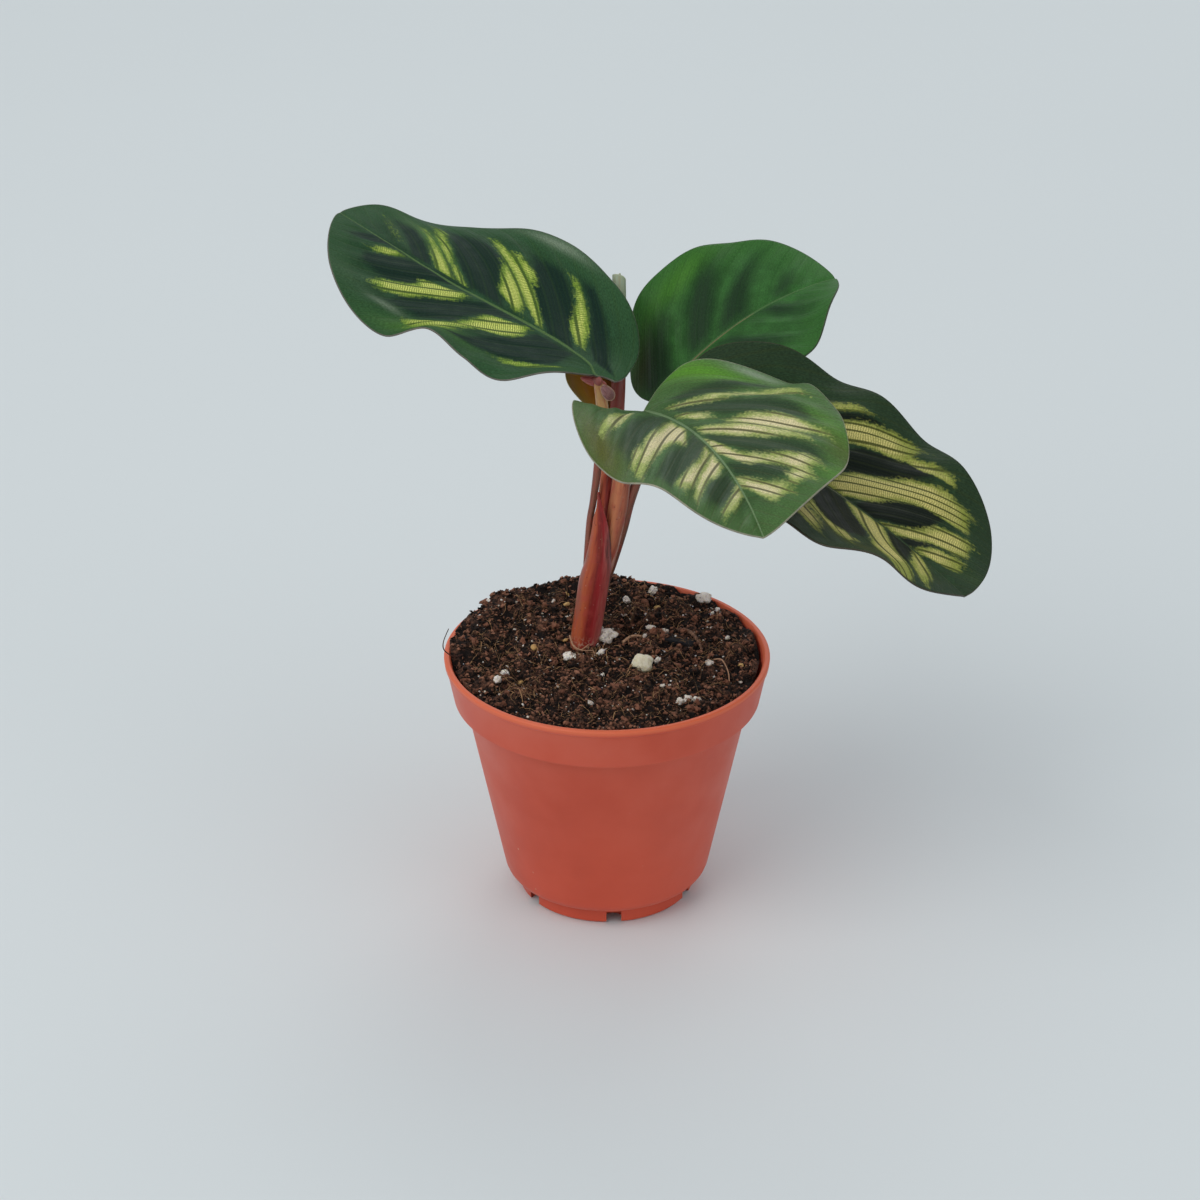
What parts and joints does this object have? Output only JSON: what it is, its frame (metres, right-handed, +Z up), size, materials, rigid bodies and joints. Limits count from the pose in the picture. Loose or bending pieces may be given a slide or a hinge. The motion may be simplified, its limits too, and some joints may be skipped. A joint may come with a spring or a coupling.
{
  "type": "peacock plant",
  "caption": "Young peacock plant with broad patterned leaves on red-brown stalks, one leaf still rolled, growing in a small terracotta-coloured plastic pot of soil.",
  "frame": {"origin": "middle of the pot's foot, on the surface that it stands on", "axes": "+Z up along the pot's axis, -Y towards the viewer that the front leaf leans to, +X to that viewer's right"},
  "size_m": [0.1183, 0.0934, 0.1213],
  "materials": {
    "pot_plastic": "terracotta-coloured moulded plastic, satin, with fine speckle",
    "potting_soil": "dark moist peat with bark fibres",
    "perlite": "white and cream porous grains",
    "stalk": "red-brown waxy stalk with fine long streaks",
    "leaf": "waxy green with dark blotches in pale ladder-veined windows, purple-pink below",
    "young_leaf": "rolled young blade, crimson outside and grey-green within"
  },
  "bodies": {
    "root": {"pot": "pot_plastic", "soil": "potting_soil", "shoot": "stalk", "leaf_left": "leaf", "leaf_back": "leaf", "leaf_front": "leaf", "leaf_right": "leaf", "leaf_young": "young_leaf"}
  },
  "joints": []
}
